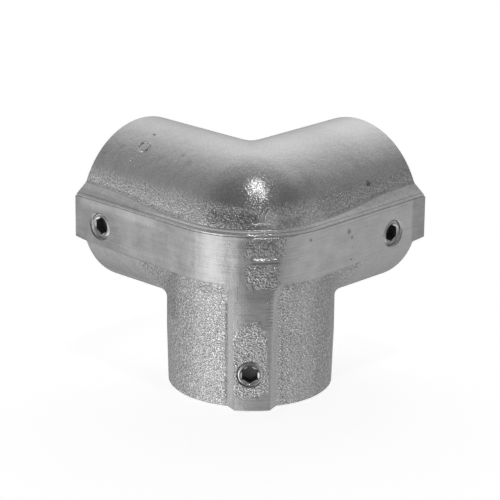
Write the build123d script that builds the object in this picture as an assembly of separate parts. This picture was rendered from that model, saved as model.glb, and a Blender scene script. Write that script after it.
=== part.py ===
from build123d import *
import os
from math import cos, hypot, radians, tan

# Three way corner connector: one casting with three tube sockets, and three set screws.
# Lengths are in millimetres and angles in degrees.
# The corner centre is the point where the three socket axes meet. It is the working origin
# here, and the finished pieces are lifted so that the rim of the post socket lies at z = 0.

# The tube that the sockets take, 1 1/2 inch nominal size
tube_diameter = 48.26
tube_clearance = 0.37

# The sockets
wall = 5.8
rail_reach = 57.0
post_reach = 57.0
rail_socket_depth = 30.0
post_socket_depth = 30.0
stop_width = 2.5
rail_crotch_radius = 11.0
post_crotch_radius = 6.0
crotch_margin = 0.2
rim_shrink = 0.6
mouth_chamfer = 0.45

# The raised pad: a band along both rails and round the corner, and a strip down the post
pad_height = 3.2
pad_sink = 3.7
band_top = 7.5
band_drop_at_mouth = 7.9
band_drop_at_corner = 9.9
band_slope = 36.0
band_underside_slope = 31.0
band_root_round = 2.0
parting_step = 0.6
parting_rise = 0.5
strip_half_width = 6.9
strip_rim_half_width = 6.2
strip_slope = 28.0
strip_corner_radius = 5.0

# The set screws, 3/8 inch with a hexagon socket and a cup point
screw_diameter = 9.525
screw_length = 8.5
screw_clearance = 0.05
screw_sink = 0.4
screw_chamfer = 0.55
hex_across_flats = 4.76
hex_depth = 4.2
hex_countersink = 0.55
cup_radius = 2.6
cup_floor_radius = 1.3
cup_depth = 1.1
point_chamfer = 1.3
hole_chamfer = 0.45
hole_seam_turn = 10.0

# Where each screw sits: its distance from the mouth, and how far off the socket axis it passes
x_screw_setback = 18.0
x_screw_drop = 2.7
y_screw_setback = 13.3
y_screw_drop = 1.4
post_screw_setback = 13.8
post_screw_shift = 0.9

socket_radius = tube_diameter / 2 + tube_clearance
outer_radius = socket_radius + wall
core_radius = socket_radius - stop_width
pad_face = outer_radius + pad_height
screw_radius = screw_diameter / 2
hole_radius = screw_radius + screw_clearance
pad_inside = outer_radius - pad_sink
underside_rise = tan(radians(band_underside_slope))
tolerance = 0.001
near = 0.01
overrun = 1.0

to_x_rail = Rot(0, 90, 0)
to_y_rail = Rot(-90, 0, 0)
to_post = Rot(180, 0, 0)
to_diagonal = Rot(0, 0, -45)
upright = (Align.CENTER, Align.CENTER, Align.MIN)


def edges_where(shape, test):
    """The edges whose ends and middle all pass the test."""
    return [edge for edge in shape.edges() if all(test(edge @ share) for share in (0, 0.5, 1))]


def at_x_mouth(point):
    return abs(point.X - rail_reach) < tolerance


def at_y_mouth(point):
    return abs(point.Y - rail_reach) < tolerance


def at_rim(point):
    return abs(point.Z + post_reach) < tolerance


def pad_distance(point):
    """Distance out from the rail axes, and from the post axis round the corner."""
    if point.X > 0:
        return -point.Y
    if point.Y > 0:
        return -point.X
    return hypot(point.X, point.Y)


def tubes():
    """The three outer tubes, joined by a ball at the corner, with rounded crotches."""
    rail = Cylinder(outer_radius, rail_reach, align=upright)
    rails = to_x_rail * rail + to_y_rail * rail + Sphere(outer_radius)
    crossing = [edge for edge in rails.edges() if edge.geom_type == GeomType.ELLIPSE]
    rails = rails.fillet(rail_crotch_radius, crossing)

    straight = outer_radius + post_crotch_radius + crotch_margin
    drafted = Cone(outer_radius, outer_radius - rim_shrink, post_reach - straight, align=upright)
    post = Cylinder(outer_radius, straight, align=upright) + Pos(0, 0, straight) * drafted
    joined = rails + to_post * post

    def on_post(point):
        return point.Z < tolerance and abs(hypot(point.X, point.Y) - outer_radius) < near

    round_or_straight = (GeomType.LINE, GeomType.CIRCLE)
    crossing = [e for e in edges_where(joined, on_post) if e.geom_type not in round_or_straight]
    return joined.fillet(post_crotch_radius, crossing)


def underside(distance):
    """Height of the band's underside at the corner, at a distance out from the post axis."""
    return -band_drop_at_corner - (pad_face - distance) * underside_rise


def band():
    """The pad along the rails: one section run along both rails and turned round the corner.

    Along the rails its underside rises a little towards the mouths."""
    step_distance = pad_face - parting_step
    slope_start = band_top + parting_rise
    rise_per_mm = tan(radians(band_slope))
    section = make_face(
        Polyline(
            (-pad_face, 0, underside(pad_face)),
            (-pad_face, 0, band_top),
            (-step_distance, 0, band_top),
            (-step_distance, 0, slope_start),
            (-pad_inside, 0, slope_start + (step_distance - pad_inside) * rise_per_mm),
            (-pad_inside, 0, underside(pad_inside)),
            close=True,
        )
    )
    taper = (band_drop_at_corner - band_drop_at_mouth) / rail_reach
    below = Plane((-pad_face, 0, -band_drop_at_corner), z_dir=(-underside_rise, taper, -1))
    along_y = split(extrude(section, amount=rail_reach, dir=(0, 1, 0)), below, Keep.BOTTOM)
    along_x = along_y.mirror(Plane((0, 0, 0), z_dir=(1, -1, 0)))
    return along_y + revolve(section, Axis.Z, 90) + along_x


def strip():
    """The pad down the post, on the corner's diagonal: sloped sides and a round face."""
    slope = tan(radians(strip_slope))
    narrowing = (strip_half_width - strip_rim_half_width) / post_reach
    top, bottom = pad_face, -post_reach - pad_face

    def half_width_at_core(z):
        return strip_half_width + narrowing * z + (pad_face - core_radius) * slope

    outline = make_face(
        Polyline(
            (half_width_at_core(top), -core_radius, top),
            (half_width_at_core(bottom), -core_radius, bottom),
            (-half_width_at_core(bottom), -core_radius, bottom),
            (-half_width_at_core(top), -core_radius, top),
            close=True,
        )
    )
    reach_out = pad_face - core_radius + overrun
    wedge = extrude(outline, amount=reach_out, dir=(0, -1, 0), taper=strip_slope)
    return to_diagonal * (wedge & to_post * Cylinder(pad_face, post_reach, align=upright))


def pad():
    """Band and strip as one raised pad, with its inside corners rounded."""
    joined = band() + strip()

    def on_band_underside(point):
        height = underside(pad_distance(point))
        return max(point.X, point.Y) < -tolerance and abs(point.Z - height) < near

    def turns_inward(edge):
        return abs((edge @ 0).Z - (edge @ 1).Z) > pad_height / 2

    corners = [edge for edge in edges_where(joined, on_band_underside) if turns_inward(edge)]
    return joined.fillet(strip_corner_radius, corners)


def outside():
    """The whole outer form of the casting, before it is hollowed."""
    tube_form = tubes()
    pad_form = pad()
    form = tube_form + pad_form

    tube_shell = Compound(tube_form.faces())
    pad_shell = Compound(pad_form.faces())

    def on_upper_root(point):
        tip = Vertex(*point)
        on_both = tube_shell.distance_to(tip) < near and pad_shell.distance_to(tip) < near
        return point.Z > 0 and on_both

    def on_mouth(edge):
        return at_x_mouth(edge @ 0.5) or at_y_mouth(edge @ 0.5)

    roots = [edge for edge in edges_where(form, on_upper_root) if not on_mouth(edge)]
    form = form.fillet(band_root_round, roots)
    for mouth in (at_x_mouth, at_y_mouth, at_rim):
        form = chamfer(edges_where(form, mouth), mouth_chamfer)
    return form


def hollow():
    """The space inside: three sockets, the tube stops behind them and the core between."""

    def socket(reach, depth):
        bore = Pos(0, 0, reach - depth) * Cylinder(socket_radius, depth + overrun, align=upright)
        return bore + Cylinder(core_radius, reach - depth, align=upright)

    rail_socket = socket(rail_reach, rail_socket_depth)
    post_socket = socket(post_reach, post_socket_depth)
    return to_x_rail * rail_socket + to_y_rail * rail_socket + to_post * post_socket + Sphere(core_radius)


def screw_places():
    """Each screw's name and the plane whose normal is its axis, pointing out of the casting."""
    out = Vector(-1, -1, 0).normalized()
    across = Vector(1, -1, 0).normalized()
    x_point = (rail_reach - x_screw_setback, 0, -x_screw_drop)
    y_point = (0, rail_reach - y_screw_setback, -y_screw_drop)
    post_point = across * -post_screw_shift + Vector(0, 0, post_screw_setback - post_reach)
    return {
        "x_rail_set_screw": Plane(x_point, x_dir=(1, 0, 0), z_dir=(0, -1, 0)),
        "y_rail_set_screw": Plane(y_point, x_dir=(0, -1, 0), z_dir=(-1, 0, 0)),
        "post_set_screw": Plane(post_point, x_dir=across, z_dir=out),
    }


def screw_hole():
    """A tapped hole with a chamfered mouth at the pad, its seam turned clear of the pad's middle."""
    hole = Pos(0, 0, core_radius) * Cylinder(hole_radius, pad_face, align=upright)
    flare_height = hole_chamfer + overrun
    flare = Cone(hole_radius, hole_radius + flare_height, flare_height, align=upright)
    return Rot(0, 0, hole_seam_turn) * (hole + Pos(0, 0, pad_face - hole_chamfer) * flare)


def set_screw():
    """A headless screw along Z, with its socket end just below the pad's face."""
    top = pad_face - screw_sink
    tip = top - screw_length
    body = Pos(0, 0, tip) * Cylinder(screw_radius, screw_length, align=upright)
    body = chamfer(body.edges().filter_by(GeomType.CIRCLE).sort_by(Axis.Z)[-1], screw_chamfer)
    body = chamfer(body.edges().filter_by(GeomType.CIRCLE).sort_by(Axis.Z)[0], point_chamfer)

    corner_radius = hex_across_flats / 2 / cos(radians(30))
    hexagon = Pos(0, 0, top - hex_depth) * RegularPolygon(corner_radius, 6)
    socket = extrude(hexagon, amount=hex_depth + overrun, dir=(0, 0, 1))
    mouth_radius = corner_radius + hex_countersink / 2
    mouth = Pos(0, 0, top - hex_countersink) * Cone(
        mouth_radius - hex_countersink, mouth_radius, hex_countersink, align=upright
    )
    cup = Pos(0, 0, tip) * Cone(cup_radius, cup_floor_radius, cup_depth, align=upright)
    return body - socket - mouth - cup


def casting():
    """The casting itself: the outer form, hollowed and drilled."""
    body = outside() - hollow()
    for plane in screw_places().values():
        body -= plane.location * screw_hole()
    return body


os.makedirs("parts", exist_ok=True)
lift = Pos(0, 0, post_reach)
export_step(lift * casting(), "parts/corner_body.step")
for name, plane in screw_places().items():
    export_step(lift * plane.location * set_screw(), f"parts/{name}.step")
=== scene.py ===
import math
import bpy
import numpy as np
from mathutils import Matrix, Vector


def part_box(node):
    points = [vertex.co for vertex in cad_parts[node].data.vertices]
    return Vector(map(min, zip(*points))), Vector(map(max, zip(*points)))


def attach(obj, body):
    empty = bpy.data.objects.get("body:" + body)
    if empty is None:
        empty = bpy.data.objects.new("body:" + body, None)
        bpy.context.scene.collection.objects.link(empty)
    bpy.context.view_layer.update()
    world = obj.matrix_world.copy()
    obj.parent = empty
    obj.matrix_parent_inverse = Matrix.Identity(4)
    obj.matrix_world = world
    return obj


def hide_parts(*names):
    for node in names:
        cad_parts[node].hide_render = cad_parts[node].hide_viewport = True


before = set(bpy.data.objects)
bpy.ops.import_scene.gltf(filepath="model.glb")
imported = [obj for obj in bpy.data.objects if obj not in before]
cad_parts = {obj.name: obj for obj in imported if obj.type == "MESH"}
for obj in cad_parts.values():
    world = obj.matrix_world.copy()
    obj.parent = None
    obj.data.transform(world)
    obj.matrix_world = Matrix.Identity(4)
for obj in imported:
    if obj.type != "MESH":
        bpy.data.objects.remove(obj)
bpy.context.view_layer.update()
print("frame loaded")

# The corner centre is where the three socket axes meet. Lengths are in metres where objects
# are placed, and in millimetres from the corner centre inside the materials.
cornerHeight = 0.057
perMillimetre = 0.001
tubeRadius = 30.3           # outside of the sockets
faceDistance = 33.5         # from the socket axes to the ground faces
mouthAt = 57.0              # from the corner centre to each mouth

cameraSettings = {
    "place": (-0.6309, -0.5983, 0.3368),
    "azimuth": -46.49,       # degrees, turned about the upright axis from looking along +Y
    "elevation": 18.308,     # degrees, looking down
    "roll": 0.606,           # degrees
    "lens": 183.43,
}


def makeCamera(settings):
    turn, tilt, roll = (math.radians(settings[key]) for key in ("azimuth", "elevation", "roll"))
    level = math.cos(tilt)
    ahead = Vector((-math.sin(turn) * level, math.cos(turn) * level, -math.sin(tilt)))
    right = ahead.cross(Vector((0, 0, 1))).normalized()
    down = ahead.cross(right)
    rolledRight = right * math.cos(roll) - down * math.sin(roll)
    rolledDown = right * math.sin(roll) + down * math.cos(roll)
    place = settings["place"]
    camera = bpy.data.objects.new("camera", bpy.data.cameras.new("camera"))
    bpy.context.collection.objects.link(camera)
    camera.matrix_world = Matrix((
        (rolledRight.x, -rolledDown.x, -ahead.x, place[0]),
        (rolledRight.y, -rolledDown.y, -ahead.y, place[1]),
        (rolledRight.z, -rolledDown.z, -ahead.z, place[2]),
        (0, 0, 0, 1),
    ))
    camera.data.lens = settings["lens"]
    camera.data.sensor_width = 36
    camera.data.clip_start = 0.05
    camera.data.clip_end = 50
    bpy.context.scene.camera = camera


makeCamera(cameraSettings)
bpy.context.scene.view_settings.view_transform = "Standard"
print("camera placed")


# Node helpers. Each takes sockets or plain values, and gives a socket.
def link(tree, source, target):
    if hasattr(source, "is_output"):
        tree.links.new(source, target)
    else:
        target.default_value = source


def calc(tree, kind, *values):
    node = tree.nodes.new("ShaderNodeMath")
    node.operation = kind
    for index, value in enumerate(values):
        link(tree, value, node.inputs[index])
    return node.outputs[0]


def product(tree, *values):
    result = values[0]
    for value in values[1:]:
        result = calc(tree, "MULTIPLY", result, value)
    return result


def total(tree, *values):
    result = values[0]
    for value in values[1:]:
        result = calc(tree, "ADD", result, value)
    return result


def most(tree, *values):
    result = values[0]
    for value in values[1:]:
        result = calc(tree, "MAXIMUM", result, value)
    return result


def vectorCalc(tree, kind, first, second):
    node = tree.nodes.new("ShaderNodeVectorMath")
    node.operation = kind
    link(tree, first, node.inputs[0])
    link(tree, second, node.inputs[1])
    return node.outputs["Value" if kind in ("DOT_PRODUCT", "DISTANCE") else "Vector"]


# Smooth change from one level to another
def ramp(tree, value, low, high, atLow=0.0, atHigh=1.0):
    node = tree.nodes.new("ShaderNodeMapRange")
    node.interpolation_type = "SMOOTHSTEP"
    ends = {"Value": value, "From Min": low, "From Max": high, "To Min": atLow, "To Max": atHigh}
    for name, setting in ends.items():
        link(tree, setting, node.inputs[name])
    return node.outputs[0]


# One between low and high, nought outside, with soft ends
def between(tree, value, low, high, soft):
    rise = ramp(tree, value, low - soft, low + soft)
    return product(tree, rise, ramp(tree, value, high - soft, high + soft, 1.0, 0.0))


# Noise from -1 to 1
def noise(tree, vector, scale, detail=2.0):
    node = tree.nodes.new("ShaderNodeTexNoise")
    link(tree, vector, node.inputs["Vector"])
    node.inputs["Scale"].default_value = scale
    node.inputs["Detail"].default_value = detail
    return calc(tree, "MULTIPLY_ADD", node.outputs["Fac"], 2.0, -1.0)


def mixValue(tree, share, first, second):
    node = tree.nodes.new("ShaderNodeMix")
    node.data_type = "FLOAT"
    for index, value in ((0, share), (2, first), (3, second)):
        link(tree, value, node.inputs[index])
    return node.outputs[0]


def split(tree, vector):
    node = tree.nodes.new("ShaderNodeSeparateXYZ")
    tree.links.new(vector, node.inputs[0])
    return node.outputs


socketKinds = {
    "Place": "NodeSocketVector", "Round": "NodeSocketVector", "Normal": "NodeSocketVector",
    "Colour": "NodeSocketColor",
}


# A new node group, with its tree, its inputs' values and the sockets that its outputs take
def makeGroup(name, inputs, outputs):
    tree = bpy.data.node_groups.new(name, "ShaderNodeTree")
    for way, names in (("INPUT", inputs), ("OUTPUT", outputs)):
        for socket in names:
            kind = socketKinds.get(socket, "NodeSocketFloat")
            tree.interface.new_socket(socket, in_out=way, socket_type=kind)
    return tree, tree.nodes.new("NodeGroupInput").outputs, tree.nodes.new("NodeGroupOutput").inputs


def useGroup(tree, group, **inputs):
    node = tree.nodes.new("ShaderNodeGroup")
    node.node_tree = group
    for name, value in inputs.items():
        link(tree, value, node.inputs[name])
    return node.outputs


# The studio: a dim room with a few soft panels. Azimuth is in degrees from +X towards +Y, and
# the higher the sharpness, the smaller the panel.
studio = {
    "room": 0.10,
    "panels": {
        "back": {"azimuth": 40, "elevation": 30, "sharpness": 4, "level": 0.55},
        "left": {"azimuth": 175, "elevation": -10, "sharpness": 12, "level": 1.15},
        "leftBack": {"azimuth": 120, "elevation": 0, "sharpness": 6, "level": 0.3},
        "right": {"azimuth": 300, "elevation": -20, "sharpness": 3, "level": 0.25},
        "low": {"azimuth": 160, "elevation": -60, "sharpness": 6, "level": 0.6},
        "floor": {"azimuth": 0, "elevation": -90, "sharpness": 2, "level": 0.3},
        "lamp": {"azimuth": 250, "elevation": 75, "sharpness": 900, "level": 20},
    },
    "seen": 1.0,
}


# Each panel is a lobe of light about one direction, which falls off as
# exp(sharpness * (cosine of the angle away from it - 1))
def makeStudio(settings):
    world = bpy.data.worlds.new("studio")
    bpy.context.scene.world = world
    world.use_nodes = True
    tree = world.node_tree
    tree.nodes.clear()
    way = tree.nodes.new("ShaderNodeTexCoord").outputs["Generated"]
    level = settings["room"]
    for panel in settings["panels"].values():
        azimuth, elevation = math.radians(panel["azimuth"]), math.radians(panel["elevation"])
        flat = math.cos(elevation)
        towards = (flat * math.cos(azimuth), flat * math.sin(azimuth), math.sin(elevation))
        aim = vectorCalc(tree, "DOT_PRODUCT", way, towards)
        sharpness = float(panel["sharpness"])
        falloff = calc(tree, "EXPONENT", calc(tree, "MULTIPLY_ADD", aim, sharpness, -sharpness))
        level = calc(tree, "MULTIPLY_ADD", falloff, float(panel["level"]), level)
    seen = tree.nodes.new("ShaderNodeLightPath").outputs["Is Camera Ray"]
    background = tree.nodes.new("ShaderNodeBackground")
    tree.links.new(mixValue(tree, seen, level, settings["seen"]), background.inputs["Color"])
    tree.links.new(background.outputs[0], tree.nodes.new("ShaderNodeOutputWorld").inputs[0])


makeStudio(studio)

floorSettings = {"half": 6.0, "colour": 0.9, "glow": 0.72, "gap": 0.00005}


def makeFloor(settings):
    half, height = settings["half"], -settings["gap"]
    corners = [(-half, -half, height), (half, -half, height), (half, half, height), (-half, half, height)]
    mesh = bpy.data.meshes.new("floor")
    mesh.from_pydata(corners, [], [(0, 1, 2, 3)])
    floor = bpy.data.objects.new("floor", mesh)
    bpy.context.collection.objects.link(floor)
    material = bpy.data.materials.new("paleFloor")
    material.use_nodes = True
    shader = material.node_tree.nodes["Principled BSDF"]
    shader.inputs["Base Color"].default_value = (settings["colour"],) * 3 + (1,)
    shader.inputs["Roughness"].default_value = 1.0
    shader.inputs["Emission Color"].default_value = (1, 1, 1, 1)
    shader.inputs["Emission Strength"].default_value = settings["glow"]
    mesh.materials.append(material)
    floor.visible_glossy = False
    floor.visible_shadow = False


makeFloor(floorSettings)
print("studio made")


# The place on the casting: in millimetres from the corner centre, the distance out from the
# rail axes (and from the post axis round the corner), the distance across the corner, the
# height of the upper slope's root, which the bulging corner lowers, the way a round tube or
# ball would face there, and whether the place is on the outside, short of the mouths
slopeRoot = {"low": 9.5, "high": 11.5, "start": 7.0, "end": 50.0, "roundShare": 0.8}


def makePlaceGroup():
    names = ["Place", "X", "Y", "Z", "Out", "Across", "Root", "Round", "Outside"]
    tree, given, result = makeGroup("castPlace", [], names)
    local = tree.nodes.new("ShaderNodeTexCoord").outputs["Object"]
    lifted = vectorCalc(tree, "SUBTRACT", local, (0, 0, cornerHeight))
    place = vectorCalc(tree, "DIVIDE", lifted, (perMillimetre,) * 3)
    x, y, z = split(tree, place)
    outX, outY = calc(tree, "MINIMUM", x, 0.0), calc(tree, "MINIMUM", y, 0.0)
    squares = total(tree, product(tree, outX, outX), product(tree, outY, outY))
    across = product(tree, calc(tree, "SUBTRACT", x, y), math.sqrt(0.5))
    along = calc(tree, "MAXIMUM", x, y)
    root = ramp(tree, along, *(slopeRoot[key] for key in ("start", "end", "low", "high")))
    fromAxis = calc(tree, "SQRT", total(tree, squares, product(tree, z, z)))
    beforeMouth = ramp(tree, along, mouthAt - 0.3, mouthAt - 0.1, 1.0, 0.0)
    outside = product(tree, ramp(tree, fromAxis, tubeRadius - 1.6, tubeRadius - 0.8), beforeMouth)
    facing = tree.nodes.new("ShaderNodeCombineXYZ")
    for index, value in enumerate((outX, outY, product(tree, z, slopeRoot["roundShare"]))):
        tree.links.new(value, facing.inputs[index])
    values = {
        "Place": place, "X": x, "Y": y, "Z": z, "Out": calc(tree, "SQRT", squares), "Across": across,
        "Root": root, "Round": facing.outputs[0], "Outside": outside,
    }
    for name, value in values.items():
        tree.links.new(value, result[name])
    return tree


castPlace = makePlaceGroup()

# Where the casting is ground smooth and where it keeps its sand grain
zones = {
    "faceStart": 33.15, "faceEnd": 33.4,
    "railGrainTop": 20.0, "railGrainFull": 14.0, "railGrain": 0.75, "skinGrain": 0.22,
    "ballLeft": -6.0, "ballRight": 8.0, "ballBottom": 14.0, "ballTop": 23.0, "ballGrain": 0.28,
    "footLeft": -15.0, "footRight": 14.0, "footBottom": 9.9, "footTop": 13.0, "footGrain": 0.65,
    "postGrainTop": -10.0, "postGrainFull": -13.0,
    "grainEnd": 34.0, "grainStart": 26.0,
    "stripGrainTop": -24.2, "stripArch": 0.1, "stripGrainSoft": 1.8,
    "stripGrainLeft": -6.6, "stripGrainRight": 5.4, "stripGrainBottom": -51.0,
    "patchLeft": -2.4, "patchRight": 8.8, "patchBottom": -11.5, "patchTop": -2.6,
    "smoothLeft": -5.4, "smoothRight": 5.7, "smoothFull": -9.5, "smoothStart": -7.0,
    "upperPatchLeft": -3.0, "upperPatchRight": 11.0, "upperPatchBottom": 0.0, "upperPatchTop": 6.6,
}


def makeZonesGroup(settings):
    tree, given, result = makeGroup("castZones", [], ["Ground", "Grain", "Smooth"])
    here = useGroup(tree, castPlace)
    wander = noise(tree, here["Place"], 0.35)
    across = calc(tree, "MULTIPLY_ADD", wander, 1.5, here["Across"])
    height = calc(tree, "MULTIPLY_ADD", wander, 2.2, here["Z"])
    face = ramp(tree, here["Out"], settings["faceStart"], settings["faceEnd"])
    offFace = calc(tree, "SUBTRACT", 1.0, face)
    onPost = product(
        tree,
        ramp(tree, height, settings["postGrainFull"], settings["postGrainTop"], 1.0, 0.0),
        ramp(
            tree, calc(tree, "MAXIMUM", here["X"], here["Y"]),
            settings["grainStart"], settings["grainEnd"], 1.0, 0.0,
        ),
        ramp(tree, calc(tree, "ABSOLUTE", here["Across"]), 8.6, 9.2),
    )
    above = ramp(tree, calc(tree, "SUBTRACT", here["Z"], here["Root"]), -0.1, 0.5)
    onRails = product(
        tree, above,
        ramp(tree, height, settings["railGrainFull"], settings["railGrainTop"], settings["railGrain"], 0.0),
        ramp(tree, here["Out"], 31.0, 32.0, 1.0, 0.0), here["Outside"],
    )
    soft = settings["stripGrainSoft"]
    arch = product(tree, here["Across"], here["Across"], settings["stripArch"])
    arched = total(tree, height, arch)
    onStrip = product(
        tree,
        ramp(tree, arched, settings["stripGrainTop"] - soft, settings["stripGrainTop"] + soft, 1.0, 0.0),
        between(tree, across, settings["stripGrainLeft"], settings["stripGrainRight"], 0.5),
        ramp(tree, height, settings["stripGrainBottom"] - soft, settings["stripGrainBottom"] + soft),
    )
    patch = product(
        tree, between(tree, across, settings["patchLeft"], settings["patchRight"], 1.2),
        between(tree, height, settings["patchBottom"], settings["patchTop"], 0.7),
    )
    upperPatch = product(
        tree, between(tree, across, settings["upperPatchLeft"], settings["upperPatchRight"], 2.0),
        between(tree, height, settings["upperPatchBottom"], settings["upperPatchTop"], 0.8), 0.75,
    )
    onFace = product(tree, face, most(tree, onStrip, patch, upperPatch))
    skin = product(tree, offFace, settings["skinGrain"])
    ball = product(
        tree, offFace, between(tree, across, settings["ballLeft"], settings["ballRight"], 3.0),
        between(tree, here["Z"], settings["ballBottom"], settings["ballTop"], 2.0),
        settings["ballGrain"], here["Outside"],
    )
    foot = product(
        tree, offFace, between(tree, here["Across"], settings["footLeft"], settings["footRight"], 2.0),
        between(tree, here["Z"], settings["footBottom"], settings["footTop"], 0.4),
        settings["footGrain"], here["Outside"],
    )
    grain = most(
        tree, onFace, product(tree, offFace, onPost), product(tree, offFace, onRails), skin, ball, foot,
    )
    ground = product(tree, face, calc(tree, "SUBTRACT", 1.0, onFace))
    smoothStrip = product(
        tree, ground, between(tree, here["Across"], settings["smoothLeft"], settings["smoothRight"], 0.8),
        ramp(tree, here["Z"], settings["smoothFull"], settings["smoothStart"], 1.0, 0.0),
    )
    tree.links.new(ground, result["Ground"])
    tree.links.new(grain, result["Grain"])
    tree.links.new(smoothStrip, result["Smooth"])
    return tree


castZones = makeZonesGroup(zones)

# Sand grain: its relief in millimetres, how it lightens or darkens the metal, and how far its
# brightest specks turn upward
grainSettings = {
    "scale": 1.55, "spread": 0.34, "depth": 0.13, "tone": 0.22,
    "glintScale": 2.0, "glintStart": 0.05, "glintFull": 0.42, "glintLift": 1.4,
    "skinScale": 0.22, "skinDepth": 0.10, "skinTone": 0.08,
    "fineScale": 2.6, "fineDepth": 0.028, "fineTone": 0.06,
}


def makeGrainGroup(settings):
    tree, given, result = makeGroup("sandGrain", ["Place", "Amount"], ["Relief", "Tone", "Lift"])
    rough = noise(tree, given["Place"], settings["scale"], 1.0)
    pebbles = ramp(tree, rough, -settings["spread"], settings["spread"], -1.0, 1.0)
    skin = noise(tree, given["Place"], settings["skinScale"], 3.0)
    fine = noise(tree, given["Place"], settings["fineScale"], 1.0)
    coarse = product(tree, pebbles, given["Amount"])
    parts = ((skin, "skinDepth", "skinTone"), (fine, "fineDepth", "fineTone"))
    relief = total(
        tree, product(tree, coarse, given["Amount"], settings["depth"]),
        *(product(tree, part, settings[depth]) for part, depth, tone in parts),
    )
    tones = total(
        tree, product(tree, coarse, settings["tone"]),
        *(product(tree, part, settings[tone]) for part, depth, tone in parts),
    )
    glitter = noise(tree, given["Place"], settings["glintScale"], 1.0)
    glint = ramp(tree, glitter, settings["glintStart"], settings["glintFull"])
    tree.links.new(relief, result["Relief"])
    tree.links.new(tones, result["Tone"])
    tree.links.new(product(tree, glint, given["Amount"], settings["glintLift"]), result["Lift"])
    return tree


sandGrain = makeGrainGroup(grainSettings)

# Fine marks of the grinding belt, which run level along the faces
brushSettings = {
    "along": 0.10, "up": 2.4, "depth": 0.034, "tone": 0.17,
    "patchStretch": (0.12, 0.12, 0.2), "patchRoughness": 0.06,
}


def makeBrushGroup(settings):
    tree, given, result = makeGroup("brushMarks", ["Place", "Amount"], ["Relief", "Tone", "Roughness"])
    stretch = (settings["along"], settings["along"], settings["up"])
    stretched = vectorCalc(tree, "MULTIPLY", given["Place"], stretch)
    marks = noise(tree, stretched, 1.0, 4.0)
    patches = noise(tree, vectorCalc(tree, "MULTIPLY", given["Place"], settings["patchStretch"]), 1.0, 2.0)
    tree.links.new(product(tree, marks, given["Amount"], settings["depth"]), result["Relief"])
    tone = product(tree, total(tree, marks, patches), given["Amount"], settings["tone"])
    tree.links.new(tone, result["Tone"])
    tree.links.new(product(tree, patches, given["Amount"], settings["patchRoughness"]), result["Roughness"])
    return tree


brushMarks = makeBrushGroup(brushSettings)

# Thin lines and small marks. The bright lines (edge, foot, ridge, lowRidge) are painted highlights
# # and the dark lines (slopeLine, lowLine, crease) painted shade in the grooves and creases of the pad;
# # the ticks are file marks painted bright as highlights, and the scratch is darker. Each line has its
# # height, or its place across the corner, with its half width, its tone, and its lift, which is how far
# # it turns upward. The pits and dents have a depth, and their places with a radius each; they are
# # darker than the metal round them.
marks = {
    "slopeLine": {"height": 8.55, "half": 0.13, "tone": -0.30},
    "upperSlope": {"bottom": 8.75, "top": 9.75, "left": -36.0, "right": 4.0, "lift": 0.55},
    "lowLine": {"height": 6.5, "half": 0.12, "tone": -0.25, "start": 9.0, "end": 47.0},
    "edge": {"height": 7.3, "half": 0.22, "left": -1.5, "right": 15.0, "tone": 0.4, "lift": 1.1},
    "foot": {"height": 11.0, "half": 0.28, "left": -1.0, "right": 8.5, "tone": 0.4, "lift": 0.7},
    "ridge": {"height": -0.4, "half": 0.5, "left": -0.5, "right": 9.5, "tone": 0.4, "lift": 1.06},
    "crease": {"height": -1.9, "half": 0.3, "left": -1.0, "right": 9.5, "tone": -0.35, "lift": 0.0},
    "lowRidge": {"height": -3.5, "half": 0.25, "left": -2.0, "right": 9.0, "tone": 0.4, "lift": 1.06},
    "scratch": {"across": -5.6, "half": 0.14, "bottom": -15.0, "top": -10.6, "tone": -0.5},
    "ticks": {
        "pitch": 1.2, "left": 4.6, "right": 7.0,
        "bottom": -25.6, "top": -10.4, "tone": 0.4, "lift": 0.6,
    },
    "pits": {
        "tone": -0.45, "depth": -0.12,
        "places": [
            (15.1, -33.5, 3.4, 1.3), (16.6, -33.5, 0.9, 0.6), (16.8, -33.5, -2.6, 0.6),
            (16.2, -33.4, -7.2, 0.6),
            (20.9, -31.6, -8.9, 0.7), (-4.9, -33.1, 4.6, 0.7), (33.3, -26.0, 15.6, 1.6),
        ],
    },
    "dents": {
        "tone": -0.14, "depth": -0.05,
        "places": [
            (-17.1, 14.4, 25.0, 2.4), (-14.9, 19.7, 26.4, 1.6), (-18.1, 47.7, 24.3, 1.8),
            (-21.3, 53.4, 21.6, 1.6),
        ],
    },
}


def stripe(tree, value, centre, half, soft):
    return between(tree, value, centre - half, centre + half, soft)


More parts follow.
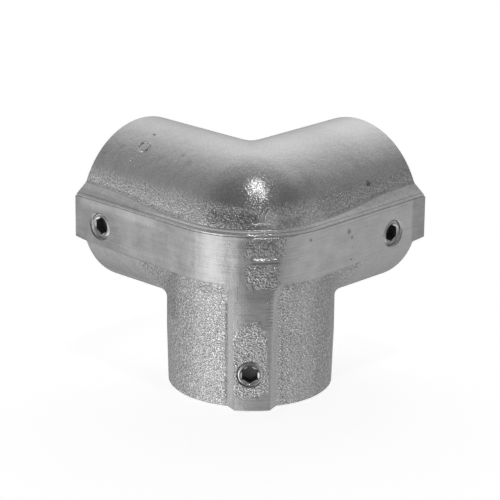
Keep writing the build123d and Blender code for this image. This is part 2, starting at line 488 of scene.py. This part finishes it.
def makeMarksGroup(settings):
    tree, given, result = makeGroup("marksAndPaintedLines", [], ["Relief", "Tone", "Lift"])
    here = useGroup(tree, castPlace)
    height, across, out = here["Z"], here["Across"], here["Out"]
    wobble = noise(tree, here["Place"], 0.5)
    wavy = calc(tree, "MULTIPLY_ADD", wobble, 0.25, height)
    broken = ramp(tree, noise(tree, here["Place"], 1.4), -0.5, 0.1)
    onFace = ramp(tree, out, 32.9, 33.3)
    parts = []
    # painted shade: a dark line in the groove where the upper slope meets the pad's face
    line = settings["slopeLine"]
    slope = between(tree, out, 31.4, 32.9, 0.1)
    parts.append(product(tree, slope, stripe(tree, height, line["height"], line["half"], 0.12), line["tone"]))
    # painted shade: a thin dark line along the x rail's face, below its top edge
    line = settings["lowLine"]
    parts.append(product(
        tree, onFace, stripe(tree, wavy, line["height"], line["half"], 0.14),
        between(tree, here["X"], line["start"], line["end"], 4.0), line["tone"],
    ))
    cuts, lifts = [], []
    line = settings["upperSlope"]
    lifts.append(product(
        tree, slope, between(tree, height, line["bottom"], line["top"], 0.15),
        between(tree, across, line["left"], line["right"], 4.0), line["lift"],
    ))
    # painted highlights on the edge, ridge and lowRidge lines and painted shade on the crease; they also turn
    # the normals
    for name in ("edge", "ridge", "crease", "lowRidge"):
        line = settings[name]
        stroke = product(
            tree, onFace, stripe(tree, wavy, line["height"], line["half"], 0.14),
            between(tree, across, line["left"], line["right"], 1.2),
            calc(tree, "MULTIPLY_ADD", broken, 0.2, 0.8),
        )
        parts.append(product(tree, stroke, line["tone"]))
        lifts.append(product(tree, stroke, line["lift"]))
    # painted highlight: a bright line at the foot of the corner's ball, above the upper slope
    line = settings["foot"]
    stroke = product(
        tree, ramp(tree, out, 32.0, 31.0), stripe(tree, height, line["height"], line["half"], 0.14),
        between(tree, across, line["left"], line["right"], 1.0),
        calc(tree, "MULTIPLY_ADD", broken, 0.3, 0.7),
    )
    parts.append(product(tree, stroke, line["tone"]))
    lifts.append(product(tree, stroke, line["lift"]))
    line = settings["scratch"]
    parts.append(product(
        tree, onFace, stripe(tree, across, line["across"], line["half"], 0.12),
        between(tree, height, line["bottom"], line["top"], 0.6), line["tone"],
    ))
    # file marks, painted bright as highlights
    line = settings["ticks"]
    phase = product(tree, height, 2 * math.pi / line["pitch"])
    wave = calc(tree, "SINE", calc(tree, "MULTIPLY_ADD", wobble, 2.2, phase))
    tick = product(
        tree, onFace, ramp(tree, wave, 0.2, 0.8),
        between(tree, across, line["left"], line["right"], 0.5),
        between(tree, height, line["bottom"], line["top"], 0.8),
    )
    parts.append(product(tree, tick, line["tone"]))
    for name in ("pits", "dents"):
        pitted = 0.0
        for x, y, z, radius in settings[name]["places"]:
            away = vectorCalc(tree, "DISTANCE", here["Place"], (x, y, z))
            ragged = calc(tree, "MULTIPLY_ADD", wobble, 0.9, away)
            pitted = most(tree, pitted, ramp(tree, ragged, 0.2 * radius, radius, 1.0, 0.0))
        parts.append(product(tree, pitted, settings[name]["tone"]))
        cuts.append(product(tree, pitted, settings[name]["depth"]))
    tree.links.new(total(tree, *parts), result["Tone"])
    lifts.append(product(tree, tick, settings["ticks"]["lift"]))
    tree.links.new(total(tree, *cuts), result["Relief"])
    tree.links.new(total(tree, *lifts), result["Lift"])
    return tree


marksAndPaintedLines = makeMarksGroup(marks)

# Above the root of the pad's slope, the normals keep turning as on the tubes and the ball higher
# up. Lift turns the surface upward, as on a small ridge. Both change the shading alone.
bulge = {"top": 13.2, "soft": 0.14, "outStart": 32.2, "outEnd": 31.6}


def makeShapeGroup(settings):
    tree, given, result = makeGroup("castShape", ["Lift"], ["Normal"])
    here = useGroup(tree, castPlace)
    atCorner = product(
        tree,
        ramp(tree, calc(tree, "SUBTRACT", here["Z"], here["Root"]), -settings["soft"], settings["soft"]),
        ramp(tree, here["Z"], settings["top"] - 0.6, settings["top"] + 0.6, 1.0, 0.0),
        ramp(tree, here["Out"], settings["outStart"], settings["outEnd"]), here["Outside"],
    )
    blend = tree.nodes.new("ShaderNodeMix")
    blend.data_type = "VECTOR"
    tree.links.new(atCorner, blend.inputs[0])
    tree.links.new(tree.nodes.new("ShaderNodeTexCoord").outputs["Normal"], blend.inputs[4])
    tree.links.new(vectorCalc(tree, "NORMALIZE", here["Round"], (0, 0, 0)), blend.inputs[5])
    raised = tree.nodes.new("ShaderNodeCombineXYZ")
    tree.links.new(given["Lift"], raised.inputs[2])
    tilted = vectorCalc(tree, "ADD", blend.outputs[1], raised.outputs[0])
    shaped = vectorCalc(tree, "NORMALIZE", tilted, (0, 0, 0))
    turn = tree.nodes.new("ShaderNodeVectorTransform")
    turn.vector_type = "NORMAL"
    turn.convert_from, turn.convert_to = "OBJECT", "WORLD"
    tree.links.new(shaped, turn.inputs[0])
    tree.links.new(turn.outputs[0], result["Normal"])
    return tree


castShape = makeShapeGroup(bulge)

# Wide soft patches of painted light and shade, and in part the metal's uneven finish: most are lighter
# # or darker reflections of the studio painted into the colour, with painted highlights on the post and
# # the slopes and painted shade at the roots, the feet and under the rails. The bounds of each in the
# # place values, with how softly each bound fades, and the tone. With every tone at 0 the metal is even.
paintedLightAndFinishPatches = {
    "railSlopes": {"Out": (27.5, 32.95, 0.2), "AboveRoot": (-1.6, -0.05, 0.15), "tone": 0.13},
    "cornerSlope": {
        "Out": (27.5, 32.95, 0.2), "Across": (-24.0, 1.0, 3.0), "AboveRoot": (-1.1, -0.05, 0.15),
        "tone": 0.14,
    },
    "rightSlope": {
        "Out": (27.5, 32.95, 0.2), "X": (22.0, 80.0, 6.0), "AboveRoot": (-1.6, -0.05, 0.15),
        "tone": -0.16,
    },
    "leftRoot": {
        "Y": (4.0, 70.0, 4.0), "Out": (26.0, 31.5, 0.3), "AboveRoot": (-0.05, 0.9, 0.3),
        "tone": -0.24,
    },
    "rightRoot": {
        "X": (6.0, 70.0, 4.0), "Out": (26.0, 31.5, 0.3), "AboveRoot": (-0.05, 0.9, 0.3),
        "tone": -0.14,
    },
    "leftFaceTop": {
        "Out": (33.1, 40.0, 0.1), "Y": (16.0, 52.0, 4.0), "Z": (4.6, 9.0, 1.3),
        "tone": 0.26,
    },
    "rightDark": {
        "X": (6.0, 70.0, 4.0), "Out": (20.0, 31.5, 0.5), "Z": (14.0, 21.0, 2.0),
        "tone": -0.12,
    },
    "leftSpeck": {"Out": (20.0, 31.5, 0.5), "Y": (6.0, 70.0, 4.0), "Z": (9.9, 17.0, 2.0), "tone": 0.12},
    "leftFaceStart": {
        "Out": (33.1, 40.0, 0.1), "Across": (-99.0, -20.3, 0.6), "Z": (-12.0, 8.0, 0.5),
        "tone": -0.14,
    },
    "leftFace": {
        "Out": (33.1, 40.0, 0.1), "Y": (-8.0, 70.0, 7.0), "Z": (-12.0, 8.0, 0.5),
        "tone": -0.11,
    },
    "leftFaceFar": {
        "Out": (33.1, 40.0, 0.1), "Y": (34.0, 70.0, 6.0), "Z": (-12.0, 8.0, 0.5),
        "tone": -0.13,
    },
    "bandHighlight": {
        "Out": (33.1, 40.0, 0.1), "Across": (-20.3, -8.0, 2.0), "Z": (-12.0, 8.0, 0.5),
        "tone": -0.21,
    },
    "cornerFace": {
        "Out": (33.1, 40.0, 0.1), "Across": (-6.0, 9.5, 2.0), "Z": (-16.0, 8.0, 2.0),
        "tone": -0.20,
    },
    "upperPatch": {
        "Out": (33.1, 40.0, 0.1), "Across": (-2.5, 8.5, 2.0), "Z": (2.6, 6.4, 0.8),
        "tone": -0.14,
    },
    "rightFaceFar": {
        "Out": (33.1, 40.0, 0.1), "X": (49.5, 70.0, 0.6), "Z": (-12.0, 8.0, 0.5),
        "tone": -0.24,
    },
    "leftUnder": {
        "Out": (20.0, 33.0, 0.1), "Y": (8.0, 60.0, 4.0), "Z": (-30.0, -8.5, 1.0),
        "tone": -0.20,
    },
    "rightSpeck": {
        "Out": (20.0, 31.5, 0.5), "X": (6.0, 70.0, 4.0), "Z": (9.9, 17.0, 2.0),
        "tone": -0.16,
    },
    "rightTopFar": {"X": (38.0, 70.0, 6.0), "Z": (22.0, 40.0, 3.0), "tone": 0.14},
    "rightTop": {"X": (8.0, 70.0, 6.0), "Z": (24.0, 40.0, 3.0), "tone": 0.05},
    "postLeft": {
        "Out": (20.0, 33.1, 0.1), "Across": (-21.0, -9.3, 2.5), "Z": (-70.0, -15.0, 2.0),
        "tone": 0.32,
    },
    "postRight": {
        "Out": (20.0, 33.1, 0.1), "Across": (9.0, 22.0, 2.0), "Z": (-70.0, -13.0, 2.0),
        "tone": 0.26,
    },
    "stripLeft": {"Across": (-8.4, -6.9, 0.3), "Z": (-70.0, -14.0, 2.0), "tone": 0.20},
    "stripLeftFoot": {"Across": (-9.7, -8.8, 0.2), "Z": (-55.0, -18.0, 2.0), "tone": -0.32},
    "stripGrain": {
        "Out": (33.1, 40.0, 0.1), "Across": (-6.6, 5.4, 0.5), "Z": (-60.0, -26.5, 1.5),
        "tone": 0.10,
    },
    "stripRight": {"Across": (6.4, 10.0, 0.4), "Z": (-70.0, -14.0, 2.0), "tone": 0.22},
    "stripRightFoot": {"Across": (10.2, 11.2, 0.3), "Z": (-55.0, -18.0, 2.0), "tone": -0.22},
    "ballLeft": {"Across": (-19.0, -8.0, 3.0), "Z": (16.0, 23.0, 2.5), "tone": -0.12},
    "ballRight": {"Across": (9.0, 21.0, 3.0), "Z": (15.0, 22.0, 2.5), "tone": -0.28},
    "ballFoot": {
        "Out": (26.0, 32.5, 0.3), "Across": (-16.0, 3.0, 2.5), "Z": (9.9, 14.0, 1.2),
        "tone": -0.38,
    },
    "ballFootRight": {
        "Out": (28.0, 32.5, 0.3), "Across": (9.0, 17.0, 1.5), "Z": (9.9, 12.5, 0.8),
        "tone": -0.22,
    },
    "ballPatch": {
        "Out": (24.0, 32.5, 0.5), "Across": (2.5, 8.0, 1.6), "Z": (10.8, 14.0, 1.0),
        "tone": 0.30,
    },
    "valley": {"X": (-14.0, 22.0, 8.0), "Y": (-14.0, 22.0, 8.0), "Z": (24.0, 40.0, 3.0), "tone": 0.08},
}


def makePaintedLightAndFinishGroup(settings):
    tree, given, result = makeGroup("paintedLightAndFinishTones", [], ["Tone"])
    here = dict(useGroup(tree, castPlace).items())
    here["AboveRoot"] = calc(tree, "SUBTRACT", here["Z"], here["Root"])
    parts = []
    for patch in settings.values():
        inside = [between(tree, here[name], *bounds) for name, bounds in patch.items() if name != "tone"]
        # each patch adds its painted light or shade, or its finish, to the tone
        parts.append(product(tree, *inside, here["Outside"], patch["tone"]))
    tree.links.new(total(tree, *parts), result["Tone"])
    return tree


paintedLightAndFinishTones = makePaintedLightAndFinishGroup(paintedLightAndFinishPatches)

castMetal = {"colour": 0.80, "roughness": 0.19, "groundRoughness": 0.27, "smoothRoughness": 0.24}


def makeCastSurface(settings):
    tree, given, result = makeGroup("castSurface", [], ["Colour", "Roughness", "Relief", "Normal"])
    here = useGroup(tree, castPlace)
    zone = useGroup(tree, castZones)
    marked = useGroup(tree, marksAndPaintedLines)
    grain = useGroup(tree, sandGrain, Place=here["Place"], Amount=zone["Grain"])
    shape = useGroup(tree, castShape, Lift=total(tree, grain["Lift"], marked["Lift"]))
    brush = useGroup(tree, brushMarks, Place=here["Place"], Amount=zone["Ground"])
    paintedLightAndFinish = useGroup(tree, paintedLightAndFinishTones)
    # the tone holds random grain and belt marks, the marks with their painted highlight and shade lines, and
    # the patches of painted light and shade
    tone = total(tree, 1.0, grain["Tone"], brush["Tone"], marked["Tone"], paintedLightAndFinish["Tone"])
    colour = product(tree, tone, settings["colour"])
    roughness = mixValue(tree, zone["Ground"], settings["roughness"], settings["groundRoughness"])
    roughness = mixValue(tree, zone["Smooth"], roughness, settings["smoothRoughness"])
    tree.links.new(calc(tree, "MINIMUM", colour, 0.98), result["Colour"])
    tree.links.new(total(tree, roughness, brush["Roughness"]), result["Roughness"])
    tree.links.new(total(tree, grain["Relief"], brush["Relief"], marked["Relief"]), result["Relief"])
    tree.links.new(shape["Normal"], result["Normal"])
    return tree


castSurface = makeCastSurface(castMetal)


def makeCastMetal():
    material = bpy.data.materials.new("castMetal")
    material.use_nodes = True
    tree = material.node_tree
    shader = tree.nodes["Principled BSDF"]
    surface = useGroup(tree, castSurface)
    bump = tree.nodes.new("ShaderNodeBump")
    bump.inputs["Distance"].default_value = perMillimetre
    tree.links.new(surface["Relief"], bump.inputs["Height"])
    tree.links.new(surface["Normal"], bump.inputs["Normal"])
    tree.links.new(bump.outputs[0], shader.inputs["Normal"])
    tree.links.new(surface["Colour"], shader.inputs["Base Color"])
    tree.links.new(surface["Roughness"], shader.inputs["Roughness"])
    shader.inputs["Metallic"].default_value = 1.0
    return material


casting = makeCastMetal()
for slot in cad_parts["corner_body"].material_slots:
    slot.material = casting
print("casting dressed")


# A mesh from points and faces in metres, in the row's frame
def makePiece(name, points, faces, material, smoothBelow):
    mesh = bpy.data.meshes.new(name)
    mesh.from_pydata([tuple(point) for point in points], [], faces)
    mesh.shade_smooth()
    mesh.set_sharp_from_angle(angle=math.radians(smoothBelow))
    mesh.materials.append(material)
    piece = bpy.data.objects.new(name, mesh)
    bpy.context.scene.collection.objects.link(piece)
    return piece


# Faces of a grid of rows by columns, closed round its columns
def gridFaces(rows, columns, ringed):
    faces = []
    for row in range(rows if ringed else rows - 1):
        here, above = row * columns, (row + 1) % rows * columns
        for column in range(columns):
            beside = (column + 1) % columns
            faces.append((here + column, here + beside, above + beside, above + column))
    return faces


# Marks cast on top of the y rail: a ring and two dots. A point of a mark lies at
# radius (tube + height) and angle (lean + across / tube) round the rail's axis.
topMarks = {
    "ring": {"along": 39.0, "lean": 31.2, "radius": 2.4, "halfWidth": 0.42, "height": 0.36},
    "dots": [
        {"name": "castDotOuter", "along": 40.1, "lean": 43.8, "radius": 0.75, "height": 0.42},
        {"name": "castDotInner", "along": 40.5, "lean": 17.5, "radius": 0.70, "height": 0.36},
    ],
    "ringSteps": (56, 14),
    "dotSteps": (13, 24),
}


def onRail(mark, across, along, height):
    radius = tubeRadius + height
    lean = math.radians(mark["lean"]) + across / tubeRadius
    x, y, z = -radius * np.sin(lean), mark["along"] + along, radius * np.cos(lean)
    points = np.stack(np.broadcast_arrays(x, y, z), axis=-1).reshape(-1, 3) * perMillimetre
    return points + np.array((0, 0, cornerHeight))


def roundSteps(count):
    return np.linspace(0, 2 * np.pi, count, endpoint=False)


# The ring is a small tube bent round a circle, and each dot a flattened ball
def makeTopMarks(settings, material):
    ring = settings["ring"]
    around, tube = settings["ringSteps"]
    turn, side = np.meshgrid(roundSteps(around), roundSteps(tube), indexing="ij")
    radius = ring["radius"] + ring["halfWidth"] * np.cos(side)
    points = onRail(ring, radius * np.cos(turn), radius * np.sin(turn), ring["height"] * np.sin(side))
    pieces = [makePiece("castRing", points, gridFaces(around, tube, True), material, 60)]
    rows, around = settings["dotSteps"]
    for dot in settings["dots"]:
        lift, turn = np.meshgrid(np.linspace(-0.49, 0.49, rows) * np.pi, roundSteps(around), indexing="ij")
        radius = dot["radius"] * np.cos(lift)
        points = onRail(dot, radius * np.cos(turn), radius * np.sin(turn), dot["height"] * np.sin(lift))
        last = (rows - 1) * around
        faces = gridFaces(rows, around, False)
        faces += [tuple(range(around))[::-1], tuple(range(last, last + around))]
        pieces.append(makePiece(dot["name"], points, faces, material, 60))
    for piece in pieces:
        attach(piece, "corner_body")


makeTopMarks(topMarks, casting)
print("cast marks made")

# Socket set screws of 3/8 inch with 16 threads to the inch. Lengths in millimetres.
screwForm = {
    "major": 4.7625, "pitch": 1.5875, "threadDepth": 0.974, "length": 8.5,
    "socketApothem": 2.778, "socketDepth": 4.2, "socketChamfer": 0.55, "faceInner": 3.5, "faceOuter": 3.85,
    "pointChamfer": 1.3, "cupRadius": 2.6, "cupDepth": 1.1, "columns": 96,
}
# paintedSocketShade is shade painted inside the socket; paintedRingTone darkens the face's flat ring as a
# painted dark reflection
screwFinish = {
    "colour": 0.90, "roughness": 0.22, "worn": 0.16, "paintedRingTone": 0.45,
    "paintedSocketShade": 0.24, "socketRoughness": 0.5, "socketStart": 0.40, "socketEnd": 1.1,
    "socketInside": 3.15, "socketOutside": 3.3,
}


# Distance from the axis and depth below the face, from the socket's floor out to the cup point.
# Thread: triangular wave of (turn + depth / pitch), cut by the chamfer cones at both ends.
def screwRows(form, turn):
    sector = np.mod(turn + math.pi / 6, math.pi / 3) - math.pi / 6
    hexagon = form["socketApothem"] / np.cos(sector)
    level = 0 * turn

    def even(radius):
        return radius + level

    rows = [(hexagon * share, form["socketDepth"] + 0.3 * (1 - share)) for share in (0.05, 0.5, 0.97)]
    depths = np.linspace(form["socketDepth"] - 0.1, form["socketChamfer"], 4)
    rows += [(hexagon, depth) for depth in depths]
    corner = form["socketApothem"] / math.cos(math.pi / 6)
    rows += [(np.maximum(hexagon, corner + 0.08), 0.26)]
    rows += [(even(form["faceInner"]), 0.02), (even(form["faceInner"] + 0.08), 0.0)]
    rows += [(even(form["faceOuter"] - 0.1), 0.0), (even(form["faceOuter"]), 0.04)]
    count = round((form["length"] - 0.3) / (form["pitch"] / 8))
    for depth in np.linspace(0.3, form["length"] - 0.35, count):
        wave = np.abs(np.mod(turn / (2 * math.pi) + depth / form["pitch"], 1.0) * 2 - 1)
        thread = form["major"] - form["threadDepth"] * np.clip(wave * 1.25 - 0.12, 0, 1)
        top = form["faceOuter"] + 1.15 * depth
        pointSlope = (form["major"] - form["cupRadius"]) / form["pointChamfer"]
        point = form["cupRadius"] + 0.15 + (form["length"] - depth) * pointSlope
        rows.append((np.minimum(np.minimum(thread, top), point), depth))
    length, cupRadius, cupDepth = form["length"], form["cupRadius"], form["cupDepth"]
    rows += [(even(cupRadius + 0.1), length), (even(cupRadius - 0.1), length)]
    rows += [(even(0.5 * cupRadius), length - 0.6 * cupDepth), (even(0.1), length - cupDepth)]
    return rows


def makeScrew(node, outward, sideways, form, material):
    low, high = (np.array(corner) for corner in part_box(node))
    outward, sideways = np.array(outward), np.array(sideways)
    upward = np.cross(outward, sideways)
    face = (low + high) / 2 + outward * perMillimetre * form["length"] / 2
    columns = form["columns"]
    turn = np.linspace(0, 2 * math.pi, columns, endpoint=False)
    rows = screwRows(form, turn)
    points = []
    for radius, depth in rows:
        ring = np.outer(radius * np.cos(turn), sideways) + np.outer(radius * np.sin(turn), upward)
        ring = ring - depth * outward
        points.append(face + ring * perMillimetre)
    faces = [face[::-1] for face in gridFaces(len(rows), columns, False)]
    last = (len(rows) - 1) * columns
    faces += [tuple(range(columns)), tuple(range(last, last + columns))[::-1]]
    screw = makePiece(node + "_threaded", np.concatenate(points), faces, material, 32)
    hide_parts(node)
    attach(screw, node)


# Painted shade inside the socket and a painted dark reflection on the flat ring of the face; bright
# # on the rest, the threads among them, with a little wear. Depth and distance from the axis are in
# # millimetres, from the middle of the screw's face.
def makeScrewSteel(node, outward, form, finish):
    low, high = (np.array(corner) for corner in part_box(node))
    outward = np.array(outward)
    face = (low + high) / 2 + outward * perMillimetre * form["length"] / 2
    steel = bpy.data.materials.new(node + "_steel")
    steel.use_nodes = True
    tree = steel.node_tree
    shader = tree.nodes["Principled BSDF"]
    shader.inputs["Metallic"].default_value = 1.0
    local = tree.nodes.new("ShaderNodeTexCoord").outputs["Object"]
    here = vectorCalc(tree, "DIVIDE", vectorCalc(tree, "SUBTRACT", local, tuple(face)), (perMillimetre,) * 3)
    depth = product(tree, vectorCalc(tree, "DOT_PRODUCT", here, tuple(outward)), -1.0)
    fromFace = vectorCalc(tree, "DISTANCE", here, (0, 0, 0))
    squares = calc(tree, "SUBTRACT", product(tree, fromFace, fromFace), product(tree, depth, depth))
    fromAxis = calc(tree, "SQRT", most(tree, squares, 0.0))
    # painted shade: the socket's inside is coloured dark
    socket = product(
        tree, ramp(tree, depth, finish["socketStart"], finish["socketEnd"]),
        ramp(tree, fromAxis, finish["socketInside"], finish["socketOutside"], 1.0, 0.0),
    )
    wear = product(tree, noise(tree, here, 1.1, 3.0), finish["worn"])
    # painted dark reflection on the flat ring of the face round the socket
    onRim = between(tree, fromAxis, form["faceInner"], form["faceOuter"], 0.08)
    paintedDarkRing = product(tree, onRim, ramp(tree, depth, 0.3, 0.1))
    faceWithDarkRing = mixValue(tree, paintedDarkRing, finish["colour"], finish["colour"] * finish["paintedRingTone"])
    bright = calc(tree, "MINIMUM", product(tree, faceWithDarkRing, total(tree, 1.0, wear)), 0.98)
    tone = mixValue(tree, socket, bright, finish["paintedSocketShade"])
    colour = tree.nodes.new("ShaderNodeCombineColor")
    for index in range(3):
        tree.links.new(tone, colour.inputs[index])
    tree.links.new(colour.outputs[0], shader.inputs["Base Color"])
    roughness = mixValue(tree, socket, finish["roughness"], finish["socketRoughness"])
    tree.links.new(roughness, shader.inputs["Roughness"])
    return steel


slant = math.sqrt(0.5)
screws = {
    "x_rail_set_screw": {"outward": (0, -1, 0), "sideways": (1, 0, 0)},
    "y_rail_set_screw": {"outward": (-1, 0, 0), "sideways": (0, -1, 0)},
    "post_set_screw": {"outward": (-slant, -slant, 0), "sideways": (slant, -slant, 0)},
}
for node, way in screws.items():
    steel = makeScrewSteel(node, way["outward"], screwForm, screwFinish)
    makeScrew(node, way["outward"], way["sideways"], screwForm, steel)
print("screws made")
